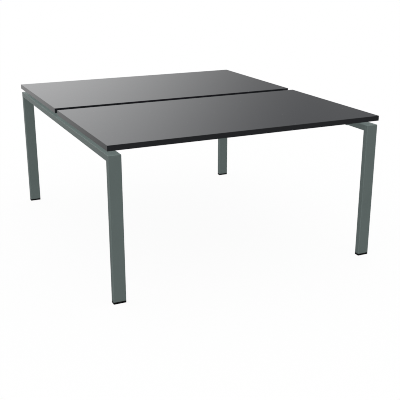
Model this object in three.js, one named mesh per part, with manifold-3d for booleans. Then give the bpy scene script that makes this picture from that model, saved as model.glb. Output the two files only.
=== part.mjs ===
// A benching desk for two: two desk tops side by side with an open cable gap between them.
// Two goal-post end frames of flat tube carry four cross beams, and the tops float on spacers above them.
// Millimetres, +Z up, X along the width, Y away from the front user, origin on the floor under the centre.

import * as THREE from "three";
import { mergeVertices } from "three/addons/utils/BufferGeometryUtils.js";
import Module from "manifold-3d";

// Desk tops
const topWidth = 1400;
const topDepth = 800;
const topThickness = 25;
const cableGap = 50;
const deskHeight = 735;
const edgeBandThickness = 2;
const edgeBandRound = 1;

// End frames: one tube for the legs and the rail, lying flat on top
const frameInset = 3;
const tubeWidth = 60;
const tubeDepth = 30;
const tubeWall = 2;
const tubeOuterRadius = 3;
const tubeInnerRadius = 1;
const mitreGap = 0.4;

// Cross beams and the plates that bolt them to the rails
const beamSpacing = 360;
const beamWidth = 50;
const beamHeight = 30;
const beamWall = 2;
const beamOuterRadius = 3;
const beamInnerRadius = 1;
const plateThickness = 5;
const plateWing = 35;
const plateCornerRadius = 4;
const boltHoleDiameter = 9;
const rivetNutHoleDiameter = 11;

// Spacers between the beams and the tops, and the holes for the screw that passes through each
const spacerHeight = 20;
const spacerDiameter = 30;
const spacerChamfer = 1;
const spacerEndInset = 60;
const screwHoleDiameter = 7;
const pilotHoleDiameter = 5;
const pilotHoleDepth = 18;

// Levelling stud, its nut and the pad that swivels on its collar
const studDiameter = 7.7;
const studLength = 40;
const studChamfer = 0.8;
const studClearance = 0.35;
const collarDiameter = 14;
const collarThickness = 3;
const collarClearance = 0.3;
const keySocketAcrossFlats = 5;
const keySocketDepth = 4;
const keyAccessDiameter = 8;
const nutAcrossFlats = 13;
const nutThickness = 6.5;
const nutClearance = 0.3;
const padFloor = 2;
const padRoof = 2.4;
const padChamfer = 1;
const padClearance = 0.5;
const padStopGap = 0.3;

// Plastic insert in the foot of each leg
const soleCeiling = 2;
const soleRim = 2.5;
const soleEdgeBevel = 0.6;
const plugHeight = 36;
const plugClearance = 0.3;
const ribCount = 4;
const ribThickness = 1.6;
const ribDepth = 2.6;
const plugWall = 2.4;
const bossWall = 1.8;
const pocketCornerRadius = 1.5;

// Facets: half the steps in a corner round, fewer inside a leg, and the sides of turned pieces and of holes
const cornerSteps = 2;
const hiddenCornerSteps = 1;
const turnedSides = 20;
const spacerSides = 16;
const holeSides = 12;

// Places worked out from the sizes above
const overallDepth = 2 * topDepth + cableGap;
const topCentreY = (topDepth + cableGap) / 2;
const topUnderside = deskHeight - topThickness;
const railTop = topUnderside - spacerHeight;
const railCentreZ = railTop - tubeDepth / 2;
const legX = topWidth / 2 - frameInset - tubeWidth / 2;
const legY = overallDepth / 2 - frameInset - tubeDepth / 2;
const railInnerX = legX - tubeWidth / 2;
const beamLength = 2 * (railInnerX - plateThickness);
const beamCentreZ = railTop - beamHeight / 2;
const plateLength = beamWidth + 2 * plateWing;
const boltOffset = (beamWidth + plateWing) / 2;
const spacerReach = beamLength / 2 - spacerEndInset;
const spacerPlaces = { left: -spacerReach, middle: 0, right: spacerReach };
const beamOffsets = { outer: beamSpacing / 2, inner: -beamSpacing / 2 };
const padHeight = padFloor + collarThickness + collarClearance + padRoof;
const recessDepth = padHeight + padStopGap;
const soleThickness = recessDepth + soleCeiling;
const recessDiameter = tubeDepth - 2 * soleRim;
const padDiameter = recessDiameter - 2 * padClearance;
const studBore = studDiameter + 2 * studClearance;
const collarBore = collarDiameter + 2 * collarClearance;
const plugWidth = tubeWidth - 2 * tubeWall - 2 * plugClearance;
const plugDepth = tubeDepth - 2 * tubeWall - 2 * plugClearance;
const coreWidth = plugWidth - 2 * ribDepth;
const coreDepth = plugDepth - 2 * ribDepth;
const nutPocketAcrossFlats = nutAcrossFlats + 2 * nutClearance;
const bossDiameter = (2 * nutPocketAcrossFlats) / Math.sqrt(3) + 2 * bossWall;

// Finishes as [colour, roughness, metalness]
const laminate = ["#24262a", 0.05, 0];
const edgePlastic = ["#17181b", 0.2, 0];
const powderCoat = ["#586260", 0.45, 0];
const blackPlastic = ["#0a0a0b", 0.55, 0];
const zincSteel = ["#c4c5c5", 0.35, 1];

const wasm = await Module();
wasm.setup();

const xAxis = new THREE.Vector3(1, 0, 0);
const yAxis = new THREE.Vector3(0, 1, 0);
const zAxis = new THREE.Vector3(0, 0, 1);

// Turns for a profile drawn in XY and extruded along Z: the profile's upright ends up along Z
const runAlongX = new THREE.Matrix4().makeBasis(yAxis, zAxis, xAxis);
const runAlongY = new THREE.Matrix4().makeBasis(xAxis, zAxis.clone().negate(), yAxis);
const faceOutward = new THREE.Matrix4().makeBasis(xAxis, zAxis, yAxis.clone().negate());

// The two ends along each axis
const sidesX = { left: -1, right: 1 };
const sidesY = { front: -1, rear: 1 };

function piece(name, geometry, [color, roughness, metalness]) {
  const mesh = new THREE.Mesh(geometry, new THREE.MeshStandardMaterial({ color, roughness, metalness }));
  mesh.name = name;
  return mesh;
}

// A closed mesh as a solid: shared corners merged, and the empty triangles on a lathe's axis dropped
function toSolid(geometry) {
  const bare = geometry.clone();
  bare.deleteAttribute("normal");
  bare.deleteAttribute("uv");
  const merged = mergeVertices(bare);
  const corners = merged.index.array;
  const triangles = [];
  for (let i = 0; i < corners.length; i += 3) {
    const [a, b, c] = corners.subarray(i, i + 3);
    if (a !== b && b !== c && c !== a) triangles.push(a, b, c);
  }
  const vertProperties = new Float32Array(merged.attributes.position.array);
  return new wasm.Manifold(new wasm.Mesh({ numProp: 3, vertProperties, triVerts: new Uint32Array(triangles) }));
}

function toGeometry(solid) {
  const { vertProperties, triVerts } = solid.getMesh();
  const geometry = new THREE.BufferGeometry();
  geometry.setAttribute("position", new THREE.BufferAttribute(vertProperties, 3));
  geometry.setIndex(new THREE.BufferAttribute(triVerts, 1));
  return geometry;
}

function roundedRectangle(width, height, radius) {
  const x = width / 2 - radius;
  const y = height / 2 - radius;
  const quarter = Math.PI / 2;
  const outline = new THREE.Shape();
  outline.absarc(x, y, radius, 0, quarter);
  outline.absarc(-x, y, radius, quarter, 2 * quarter);
  outline.absarc(-x, -y, radius, 2 * quarter, 3 * quarter);
  outline.absarc(x, -y, radius, 3 * quarter, 4 * quarter);
  return outline;
}

// A regular polygon whose corners lie on a circle: a hexagon, or a round hole in facets
function polygon(sides, cornerRadius, centreX = 0) {
  const corners = [];
  for (let i = 0; i < sides; i += 1) {
    const angle = (2 * Math.PI * i) / sides;
    corners.push(new THREE.Vector2(centreX + cornerRadius * Math.cos(angle), cornerRadius * Math.sin(angle)));
  }
  return new THREE.Shape(corners);
}

function hexagon(acrossFlats) {
  return polygon(6, acrossFlats / Math.sqrt(3));
}

// A profile extruded upwards from a given height
function prism(outline, bottom, height, curveSegments = cornerSteps) {
  const settings = { depth: height, bevelEnabled: false, curveSegments };
  return new THREE.ExtrudeGeometry(outline, settings).translate(0, 0, bottom);
}

// Round holes of one size along one direction, each centred on a point [x, y, z]
function drilled(geometry, diameter, length, direction, centres) {
  const turn = new THREE.Quaternion().setFromUnitVectors(yAxis, direction);
  const drill = new THREE.CylinderGeometry(diameter / 2, diameter / 2, length, holeSides).applyQuaternion(turn);
  return toGeometry(centres.reduce(
    (solid, centre) => solid.subtract(toSolid(drill.clone().translate(...centre))), toSolid(geometry)));
}

function cylinder(diameter, bottom, height) {
  return new THREE.CylinderGeometry(diameter / 2, diameter / 2, height, turnedSides)
    .rotateX(Math.PI / 2)
    .translate(0, 0, bottom + height / 2);
}

// A profile of [radius, height] points turned about the Z axis
function turned(profile, sides = turnedSides) {
  const points = profile.map(([radius, height]) => new THREE.Vector2(radius, height));
  return new THREE.LatheGeometry(points, sides).rotateX(Math.PI / 2);
}

function tubeSection(width, height, wall, outerRadius, innerRadius) {
  const section = roundedRectangle(width, height, outerRadius);
  section.holes.push(roundedRectangle(width - 2 * wall, height - 2 * wall, innerRadius));
  return section;
}

// A frame tube whose ends are cut along slopes across its depth; its length is measured on the centre line
function mitredTube(length, startSlope, endSlope) {
  const section = tubeSection(tubeWidth, tubeDepth, tubeWall, tubeOuterRadius, tubeInnerRadius);
  const geometry = prism(section, 0, length);
  const position = geometry.attributes.position;
  for (let i = 0; i < position.count; i += 1) {
    const alongTube = position.getZ(i);
    const slope = alongTube > length / 2 ? endSlope : startSlope;
    position.setZ(i, alongTube + slope * position.getY(i));
  }
  return geometry;
}

// A strip of edge band: its two outer edges are rounded, and it runs both ways from its middle
function edgeBand(length) {
  const half = topThickness / 2;
  const flat = half - edgeBandRound;
  const shoulder = edgeBandThickness - edgeBandRound;
  const outline = new THREE.Shape();
  outline.moveTo(0, -half);
  outline.lineTo(shoulder, -half);
  outline.absarc(shoulder, -flat, edgeBandRound, -Math.PI / 2, 0);
  outline.absarc(shoulder, flat, edgeBandRound, 0, Math.PI / 2);
  outline.lineTo(0, half);
  return prism(outline, -length / 2, length);
}

// One top: a core board with blind holes for its screws and a band on each side.
// The front and rear bands cover the side bands' ends.
function deskTop(name, centreY) {
  const top = new THREE.Group();
  top.position.set(0, centreY, topUnderside + topThickness / 2);
  const coreX = topWidth - 2 * edgeBandThickness;
  const coreY = topDepth - 2 * edgeBandThickness;
  const core = new THREE.BoxGeometry(coreX, coreY, topThickness);
  const pilotHoles = Object.values(beamOffsets).flatMap(
    (y) => Object.values(spacerPlaces).map((x) => [x, y, -topThickness / 2]));
  top.add(piece(name, drilled(core, pilotHoleDiameter, 2 * pilotHoleDepth, zAxis, pilotHoles), laminate));
  const bands = [
    ["right", 0, coreX / 2, coreY],
    ["rear", 1, coreY / 2, topWidth],
    ["left", 2, coreX / 2, coreY],
    ["front", 3, coreY / 2, topWidth],
  ];
  for (const [side, quarterTurns, reach, length] of bands) {
    const turn = new THREE.Group();
    turn.rotation.z = (quarterTurns * Math.PI) / 2;
    const band = piece(`${name}_band_${side}`, edgeBand(length), edgePlastic);
    band.quaternion.setFromRotationMatrix(faceOutward);
    band.position.x = reach;
    turn.add(band);
    top.add(turn);
  }
  return top;
}

// The insert: a sole under the leg's end, and a ribbed plug with a boss for the stud inside the tube
function legInsert() {
  const bevelled = new THREE.ExtrudeGeometry(roundedRectangle(tubeWidth, tubeDepth, tubeOuterRadius), {
    depth: soleThickness - 2 * soleEdgeBevel,
    bevelThickness: soleEdgeBevel,
    bevelSize: soleEdgeBevel,
    bevelOffset: -soleEdgeBevel,
    bevelSegments: 1,
    curveSegments: cornerSteps,
  }).translate(0, 0, soleEdgeBevel);
  const coreShell = roundedRectangle(coreWidth, coreDepth, tubeInnerRadius);
  coreShell.holes.push(roundedRectangle(coreWidth - 2 * plugWall, coreDepth - 2 * plugWall, pocketCornerRadius));
  const coreBlock = prism(
    roundedRectangle(coreWidth, coreDepth, tubeInnerRadius), soleThickness, plugHeight, hiddenCornerSteps);
  const boss = toSolid(cylinder(bossDiameter, soleThickness, plugHeight)).intersect(toSolid(coreBlock));
  let insert = toSolid(bevelled)
    .add(toSolid(prism(coreShell, soleThickness, plugHeight, hiddenCornerSteps)))
    .add(boss);
  const ribPitch = plugHeight / ribCount;
  for (let i = 0; i < ribCount; i += 1) {
    const collar = roundedRectangle(plugWidth, plugDepth, tubeInnerRadius);
    collar.holes.push(roundedRectangle(coreWidth - plugWall, coreDepth - plugWall, pocketCornerRadius));
    const ribBottom = soleThickness + (i + 1) * ribPitch - 2 * ribThickness;
    insert = insert.add(toSolid(prism(collar, ribBottom, ribThickness, hiddenCornerSteps)));
  }
  const recess = toSolid(cylinder(recessDiameter, -soleThickness, soleThickness + recessDepth));
  const nutPocket = toSolid(prism(hexagon(nutPocketAcrossFlats), 0, recessDepth + nutThickness));
  const bore = toSolid(cylinder(studBore, 0, soleThickness + 2 * plugHeight));
  return toGeometry(insert.subtract(recess).subtract(nutPocket).subtract(bore));
}

function footNut() {
  const outline = hexagon(nutAcrossFlats);
  outline.holes.push(polygon(turnedSides, studBore / 2));
  return prism(outline, recessDepth, nutThickness);
}

// The stud: a collar that the pad snaps over, a plain shank for the thread, and a key socket in its lower end
function footStud() {
  const shankRadius = studDiameter / 2;
  const top = padFloor + studLength;
  const shank = turned([
    [0, padFloor],
    [collarDiameter / 2, padFloor],
    [collarDiameter / 2, padFloor + collarThickness],
    [shankRadius, padFloor + collarThickness],
    [shankRadius, top - studChamfer],
    [shankRadius - studChamfer, top],
    [0, top],
  ]);
  const keySocket = prism(hexagon(keySocketAcrossFlats), 0, padFloor + keySocketDepth);
  return toGeometry(toSolid(shank).subtract(toSolid(keySocket)));
}

// The pad: a turned cup with an undercut that holds the stud's collar, open below for the key
function footPad() {
  const rim = padDiameter / 2;
  const access = keyAccessDiameter / 2;
  const undercut = collarBore / 2;
  const throat = studBore / 2;
  const undercutTop = padHeight - padRoof;
  return turned([
    [access, 0],
    [rim - padChamfer, 0],
    [rim, padChamfer],
    [rim, padHeight],
    [throat, padHeight],
    [throat, undercutTop],
    [undercut, undercutTop],
    [undercut, padFloor],
    [access, padFloor],
    [access, 0],
  ]);
}

function spacer() {
  const bore = screwHoleDiameter / 2;
  const rim = spacerDiameter / 2;
  return turned([
    [bore, 0],
    [rim - spacerChamfer, 0],
    [rim, spacerChamfer],
    [rim, spacerHeight - spacerChamfer],
    [rim - spacerChamfer, spacerHeight],
    [bore, spacerHeight],
    [bore, 0],
  ], spacerSides);
}

// A beam's end plate, drawn flat: two wings beside the beam, each with a bolt hole
function beamPlate() {
  const outline = roundedRectangle(plateLength, beamHeight, plateCornerRadius);
  for (const side of [-1, 1]) {
    outline.holes.push(polygon(holeSides, boltHoleDiameter / 2, side * boltOffset));
  }
  return prism(outline, -plateThickness / 2, plateThickness);
}

// One leg with its insert, nut, stud and pad, standing at the origin
function legAssembly(corner, signY) {
  const leg = new THREE.Group();
  const tube = piece(
    `leg_${corner}`, mitredTube(railCentreZ - mitreGap - soleThickness, 0, signY), powderCoat);
  tube.position.z = soleThickness;
  leg.add(tube);
  leg.add(piece(`leg_insert_${corner}`, legInsert(), blackPlastic));
  leg.add(piece(`foot_nut_${corner}`, footNut(), zincSteel));
  leg.add(piece(`foot_stud_${corner}`, footStud(), zincSteel));
  leg.add(piece(`foot_pad_${corner}`, footPad(), blackPlastic));
  return leg;
}

// One end frame: a rail with holes in its inner wall for the beams' bolts, on two legs
function endFrame(side, signX) {
  const frame = new THREE.Group();
  frame.position.x = signX * legX;
  const innerWall = -signX * (tubeWidth - tubeWall) / 2;
  const boltHoles = [];
  for (const signY of Object.values(sidesY)) {
    for (const offset of Object.values(beamOffsets)) {
      const beamY = signY * (topCentreY + offset);
      const along = [beamY - boltOffset + legY, beamY + boltOffset + legY];
      boltHoles.push(...along.map((y) => [innerWall, railCentreZ - beamCentreZ, y]));
    }
  }
  const tube = mitredTube(2 * legY, 1, -1);
  const rail = piece(
    `rail_${side}`, drilled(tube, rivetNutHoleDiameter, 2 * tubeWall, xAxis, boltHoles), powderCoat);
  rail.quaternion.setFromRotationMatrix(runAlongY);
  rail.position.set(0, -legY, railCentreZ);
  frame.add(rail);
  for (const [end, signY] of Object.entries(sidesY)) {
    const leg = legAssembly(`${end}_${side}`, signY);
    leg.position.y = signY * legY;
    frame.add(leg);
  }
  return frame;
}

// One cross beam with its screw holes and end plates, and the spacers that stand on it
function crossBeam(place) {
  const beam = new THREE.Group();
  const section = tubeSection(beamWidth, beamHeight, beamWall, beamOuterRadius, beamInnerRadius);
  const screwHoles = Object.values(spacerPlaces).map((x) => [0, 0, x]);
  const tubeGeometry = prism(section, -beamLength / 2, beamLength);
  const tube = piece(
    `beam_${place}`, drilled(tubeGeometry, screwHoleDiameter, 2 * beamHeight, yAxis, screwHoles), powderCoat);
  tube.quaternion.setFromRotationMatrix(runAlongX);
  tube.position.z = beamCentreZ;
  beam.add(tube);
  for (const [side, signX] of Object.entries(sidesX)) {
    const plate = piece(`beam_plate_${place}_${side}`, beamPlate(), powderCoat);
    plate.quaternion.setFromRotationMatrix(runAlongX);
    plate.position.set(signX * (beamLength + plateThickness) / 2, 0, beamCentreZ);
    beam.add(plate);
  }
  for (const [along, x] of Object.entries(spacerPlaces)) {
    const disc = piece(`spacer_${place}_${along}`, spacer(), blackPlastic);
    disc.position.set(x, 0, railTop);
    beam.add(disc);
  }
  return beam;
}

const desk = new THREE.Group();
for (const [end, signY] of Object.entries(sidesY)) {
  desk.add(deskTop(`top_${end}`, signY * topCentreY));
  for (const [place, offset] of Object.entries(beamOffsets)) {
    const beam = crossBeam(`${end}_${place}`);
    beam.position.y = signY * (topCentreY + offset);
    desk.add(beam);
  }
}
for (const [side, signX] of Object.entries(sidesX)) desk.add(endFrame(side, signX));

export default desk;
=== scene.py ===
"""The looks of a benching desk for two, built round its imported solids.

Two desk tops float side by side on two goal-post end frames and four cross beams.
The boards and the trapped nuts keep their solids and get a finish. Tubes, plates, edge bands, spacers,
inserts and feet are replaced by finer surfaces of the same size. Bolts, screws and weld beads are added,
then a plain studio with a camera.
"""

import math

import bmesh
import bpy
import numpy as np
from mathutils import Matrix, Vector


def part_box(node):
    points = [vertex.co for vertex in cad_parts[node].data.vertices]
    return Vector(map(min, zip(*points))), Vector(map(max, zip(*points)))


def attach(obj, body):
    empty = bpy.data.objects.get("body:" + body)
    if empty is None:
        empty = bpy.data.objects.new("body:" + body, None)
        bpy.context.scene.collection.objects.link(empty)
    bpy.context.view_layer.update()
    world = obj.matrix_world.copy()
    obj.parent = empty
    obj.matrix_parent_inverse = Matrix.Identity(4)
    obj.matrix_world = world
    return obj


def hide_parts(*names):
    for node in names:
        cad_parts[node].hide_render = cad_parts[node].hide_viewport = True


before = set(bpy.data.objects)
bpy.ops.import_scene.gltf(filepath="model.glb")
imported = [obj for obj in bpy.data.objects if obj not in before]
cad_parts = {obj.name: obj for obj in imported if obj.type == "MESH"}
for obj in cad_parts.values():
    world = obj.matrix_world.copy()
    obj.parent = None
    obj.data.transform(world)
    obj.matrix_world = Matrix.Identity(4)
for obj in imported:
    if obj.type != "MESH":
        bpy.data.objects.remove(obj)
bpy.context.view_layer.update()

MM = 0.001

ENDS = ("front", "rear")
SIDES = ("left", "right")
CORNERS = [f"{end}_{side}" for end in ENDS for side in SIDES]
BEAM_PLACES = [f"{end}_{place}" for end in ENDS for place in ("outer", "inner")]
SPACER_PLACES = ("left", "middle", "right")

# Quarter turns from +X to the way that each edge band of a top faces
BAND_TURNS = {"right": 0, "rear": 1, "left": 2, "front": 3}

# Tubes, with the walls and rounds of the solids, and the ground welds at the end frames' corners
TUBE_WALL = 2 * MM
TUBE_OUTER_ROUND = 3 * MM
TUBE_INNER_ROUND = 1 * MM
TUBE_CORNER_STEPS = 8
POST_OUTER_FILLET = 2.2 * MM
POST_INNER_FILLET = 0.8 * MM
POST_FILLET_STEPS = 6

# Rounded edges, and the points beside a round that keep flats even in shading: their distance, or their
# share of the round
FLAT_SUPPORT = 0.6 * MM
FLAT_SUPPORT_SHARE = 0.3
EDGE_ROUND_STEPS = 4

# Edge bands: the round along their edges and at their free ends
BAND_ROUND = 1 * MM
BAND_ROUND_STEPS = 6

# The dull backing sheet under the boards
BACKING_SHEET = 0.5 * MM

# Weld beads
BEAM_BEAD_SIZE = 3.2 * MM
CORNER_BEAD_SIZE = 4 * MM
BEAD_SECTION_STEPS = 6
BEAD_SWELL = 0.12
BEAD_RIPPLE_PITCH = 2.6 * MM
BEAD_RIPPLE_DEPTH = 0.045
BEAD_RIPPLE_LAG = 1.6
BEAD_POINTS_PER_RIPPLE = 6
BEAD_BURIED = 0.2 * MM
BEAD_END_POWER = 0.25

# Spacers
SPACER_SIDES = 64
SPACER_BORE_RADIUS = 3.5 * MM
SPACER_ROUND = 0.9 * MM
SPACER_BORE_ROUND = 0.3 * MM

# Leg inserts: the sole under each leg, and the ribbed plug inside it
SOLE_ROUND = 0.6 * MM
SOLE_RIM = 2.5 * MM
RECESS_CHAMFER = 0.4 * MM
PLUG_CLEARANCE = 0.3 * MM
PLUG_RIBS = 4
PLUG_RIB_THICKNESS = 1.6 * MM
PLUG_RIB_DEPTH = 2.6 * MM
PLUG_WALL = 2.4 * MM
PLUG_BOSS_RADIUS = 9.65 * MM
PLUG_POCKET_STEPS = 12
NUT_POCKET_FLATS = 13.6 * MM
STUD_BORE_RADIUS = 4.2 * MM

# Foot pads
PAD_SIDES = 96
PAD_FLUTES = 24
PAD_FLUTE_DEPTH = 0.35 * MM
PAD_FLUTE_TOP_GAP = 0.6 * MM
PAD_RIM_TOLERANCE = 0.05 * MM
PAD_ACCESS_RADIUS = 4 * MM
PAD_THROAT_RADIUS = 4.2 * MM
PAD_UNDERCUT_RADIUS = 7.3 * MM
PAD_FLOOR = 2 * MM
PAD_ROOF = 2.4 * MM
PAD_CHAMFER = 1 * MM
PAD_EDGE_ROUND = 0.3 * MM
PAD_RIM_ROUND = 0.5 * MM
PAD_INNER_ROUND = 0.2 * MM
PAD_TREAD_RINGS = 4
PAD_TREAD_POINTS = 8
PAD_TREAD_DEPTH = 0.3 * MM
PAD_TREAD_MARGIN = 0.6 * MM

# Levelling studs
STUD_COLLAR_THICKNESS = 3 * MM
STUD_COLLAR_FLAT_RADIUS = 5 * MM
STUD_CREST_RADIUS = 3.95 * MM
STUD_ROOT_RADIUS = 3.35 * MM
STUD_PITCH = 1.25 * MM
STUD_SOCKET_FLATS = 5 * MM
STUD_SOCKET_DEPTH = 4 * MM
STUD_TIP_RADIUS = 2.7 * MM
STUD_TIP_LENGTH = 0.8 * MM

# What all fasteners share
FASTENER_SIDES = 48
FASTENER_ROUND = 0.3 * MM
THREAD_ROWS_PER_PITCH = 10
HEAD_DOME_STEPS = 8
HEAD_RIM_SHARE = 0.25
SOCKET_CHAMFER = 0.25 * MM
WASHER_CLEARANCE = 0.3 * MM

# Bolts that hold the beams' plates to the rails
BOLT_SOCKET_FLATS = 5 * MM
BOLT_HEAD = {"radius": 7 * MM, "crown_radius": 3.9 * MM, "height": 4.4 * MM, "depth": 2.6 * MM}
BOLT_WASHER = {"radius": 8 * MM, "thickness": 1.6 * MM}
BOLT_SHANK = {
    "length": 20 * MM,
    "plain_length": 4.6 * MM,
    "plain_radius": 3.9 * MM,
    "root": 3.35 * MM,
    "crest": 3.9 * MM,
    "pitch": 1.25 * MM,
    "tip_radius": 3 * MM,
    "tip_length": 0.6 * MM,
}

# Screws that hold the tops
SCREW_SOCKET_RADIUS = 1.9 * MM
SCREW_SOCKET_LOBES = 6
SCREW_SOCKET_LOBE = 0.25 * MM
SCREW_HEAD = {"radius": 5.6 * MM, "crown_radius": 3.2 * MM, "height": 3.6 * MM, "depth": 2.2 * MM}
SCREW_WASHER = {"radius": 7.5 * MM, "thickness": 1.2 * MM}
SCREW_SHANK = {
    "length": 65 * MM,
    "plain_length": 26 * MM,
    "plain_radius": 2.4 * MM,
    "root": 1.9 * MM,
    "crest": 3 * MM,
    "pitch": 2.8 * MM,
    "tip_radius": 0.2 * MM,
    "tip_length": 5 * MM,
}

# The beams' end plates, the rivet nuts in the rails' inner walls, and the holes in plates, rails and beams
PLATE_CORNER_ROUND = 4 * MM
PLATE_EDGE_ROUND = 0.6 * MM
PLATE_HOLE_RADIUS = 4.5 * MM
RIVET_NUT_RADIUS = 5.4 * MM
RIVET_NUT_BULGE_RADIUS = 6.8 * MM
RIVET_NUT_BULGE_LENGTH = 3 * MM
RIVET_NUT_BORE_RADIUS = 3.95 * MM
RIVET_NUT_LENGTH = 15 * MM
RIVET_NUT_HOLE_RADIUS = 5.5 * MM
SCREW_HOLE_RADIUS = 3.5 * MM
HOLE_SIDES = 32
HOLE_OVERRUN = 1 * MM

# Meshes: edges shade smooth below these angles, and points closer than the distance are one
SMOOTH_BELOW = math.radians(35)
THREAD_SMOOTH_BELOW = math.radians(55)
MERGE_DISTANCE = 0.002 * MM

# The Mix node's sockets for colours: the share with both colours, and the result
MIX_COLOUR_SOCKETS = (0, 6, 7)
MIX_COLOUR_RESULT = 2

# The camera at the photograph's angle, with its lens and sensor in millimetres and crisp pixels
CAMERA_PLACE = (-1.6230, -3.7075, 1.5041)
CAMERA_AZIMUTH = math.radians(25.103)
CAMERA_ELEVATION = math.radians(-18.547)
CAMERA_LENS = 66.863
CAMERA_SENSOR = 36
PIXEL_FILTER = 1.0

# The studio: a pale floor, a room with one bright wall behind the desk, and soft lamps without shadows.
# In gloss the floor pales over a range of depths in metres, the wall darkens over a range of bearings, and
# the ceiling takes over in a range of heights on a sphere of radius 1.
WHITE = (1, 1, 1, 1)
FLOOR_REACH = 150
FLOOR_COLOUR = 0.5
FLOOR_SHARE = 0.7
FLOOR_GLOSS_SHARE = 0.53
FLOOR_GLOSS_RISE = (-2.3, 7.7)
AMBIENT = 0.42
ROOM_BRIGHTEST = 1
ROOM_DARKEST = 0.205
BRIGHT_WALL_BEARING = math.radians(4.3)
BRIGHT_WALL_FALL = (math.radians(4.5), math.radians(30.2))
CEILING = 0.4
CEILING_RISE = (0.35, 0.8)
LAMP_ANGLE = math.radians(60)

# Each lamp's direction from the desk, and its power
LAMPS = {
    "front_fill": ((-1, -1, 0.8), 3.05),
    "rear_fill": ((1, 1, 0.3), 2.5),
    "overhead": ((0, 0, 1), 2.75),
}


def lattice(points, wrap_rows=False):
    """A grid of points with the four-sided faces between neighbours.
    Each row closes on itself, and wrapped rows also join the last row to the first."""
    rows, columns = points.shape[:2]
    index = np.arange(rows * columns).reshape(rows, columns)
    if wrap_rows:
        index = np.vstack([index, index[:1]])
    index = np.hstack([index, index[:, :1]])
    faces = np.stack([index[:-1, :-1], index[:-1, 1:], index[1:, 1:], index[1:, :-1]], axis=-1)
    return points.reshape(-1, 3), faces.reshape(-1, 4)


def capped(rows):
    """A closed shell from rows of points: one more row at each end is drawn together to its middle."""
    middles = rows[[0, -1]].mean(axis=1, keepdims=True)
    caps = np.broadcast_to(middles, (2, *rows.shape[1:]))
    return lattice(np.concatenate([caps[:1], rows, caps[1:]]))


def moved(shell, place):
    """The same shell carried to a place by adding that place to every point."""
    points, faces = shell
    return points + np.asarray(place), faces


def turned_to(shell, across, upright, along):
    """A shell with its X, Y and Z laid along three given directions.
    Each point is the sum of the three directions, times its own x, y and z."""
    points, faces = shell
    return points @ np.array([across, upright, along], float), faces


def laid(shell, inward):
    """A shell made along Z, laid along X so that its top points inwards."""
    return turned_to(shell, (0, inward, 0), (0, 0, 1), (inward, 0, 0))


def closed_mesh(name, shells):
    """One mesh from closed shells.
    Points that meet are merged, so seams and poles close, and faces point outwards."""
    starts = np.cumsum([0] + [len(points) for points, _ in shells])
    points = np.concatenate([points for points, _ in shells])
    faces = np.concatenate([faces + start for (_, faces), start in zip(shells, starts)])
    mesh = bpy.data.meshes.new(name)
    mesh.vertices.add(len(points))
    mesh.vertices.foreach_set("co", points.astype(np.float32).ravel())
    mesh.loops.add(faces.size)
    mesh.loops.foreach_set("vertex_index", faces.astype(np.int32).ravel())
    mesh.polygons.add(len(faces))
    mesh.polygons.foreach_set("loop_start", np.arange(0, faces.size, faces.shape[1], dtype=np.int32))
    mesh.update(calc_edges=True)
    work = bmesh.new()
    work.from_mesh(mesh)
    bmesh.ops.remove_doubles(work, verts=work.verts, dist=MERGE_DISTANCE)
    bmesh.ops.recalc_face_normals(work, faces=work.faces)
    work.to_mesh(mesh)
    work.free()
    return mesh


def pierce(piece, holes):
    """Takes closed shells away from a piece, whose mesh becomes the difference."""
    drill = bpy.data.objects.new("drill", closed_mesh("drill", holes))
    bpy.context.scene.collection.objects.link(drill)
    cut = piece.modifiers.new("holes", "BOOLEAN")
    cut.operation = "DIFFERENCE"
    cut.solver = "EXACT"
    cut.object = drill
    whole = piece.data
    name = whole.name
    pierced = bpy.data.meshes.new_from_object(piece.evaluated_get(bpy.context.evaluated_depsgraph_get()))
    piece.modifiers.clear()
    piece.data = pierced
    bpy.data.meshes.remove(whole)
    bpy.data.meshes.remove(drill.data)
    pierced.name = name


def make_piece(name, shells, slot, replaced=(), body="desk", smooth_below=SMOOTH_BELOW, holes=()):
    """One object from closed shells, less its holes, with its slot's finish, riding on a body.
    It stands for the nodes that it replaces."""
    piece = bpy.data.objects.new(name, closed_mesh(name, shells))
    bpy.context.scene.collection.objects.link(piece)
    if holes:
        pierce(piece, holes)
    mesh = piece.data
    mesh.polygons.foreach_set("use_smooth", np.ones(len(mesh.polygons), dtype=bool))
    mesh.set_sharp_from_angle(angle=smooth_below)
    mesh.materials.clear()
    mesh.materials.append(finishes[slot])
    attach(piece, body)
    if replaced:
        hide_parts(*replaced)


def box_of(node):
    """A node's lowest corner, middle and size as arrays."""
    low, high = (np.array(corner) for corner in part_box(node))
    return low, (low + high) / 2, high - low


def rounded_loop(width, height, radius):
    """A closed outline: a rectangle's straight sides, joined by quarter circles of one radius.
    One more point stands a little way along each side from its ends, so that the sides shade flat."""
    quarter = np.pi / 2
    turns = np.arange(4)[:, None] * quarter
    angles = turns + np.linspace(0, quarter, TUBE_CORNER_STEPS + 1)
    signs = np.sign(np.stack([np.cos(turns + quarter / 2), np.sin(turns + quarter / 2)], axis=-1))
    centres = signs * (np.array([width, height]) / 2 - radius)
    arcs = centres + radius * np.stack([np.cos(angles), np.sin(angles)], axis=-1)
    tangents = np.stack([-np.sin(angles), np.cos(angles)], axis=-1)
    before = arcs[:, :1] - FLAT_SUPPORT * tangents[:, :1]
    after = arcs[:, -1:] + FLAT_SUPPORT * tangents[:, -1:]
    return np.concatenate([before, arcs, after], axis=1).reshape(-1, 2)


def tube_loops(width, height):
    """The outer and inner outlines of a tube, with the same number of points."""
    outer = rounded_loop(width, height, TUBE_OUTER_ROUND)
    inner = rounded_loop(width - 2 * TUBE_WALL, height - 2 * TUBE_WALL, TUBE_INNER_ROUND)
    return outer, inner


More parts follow.
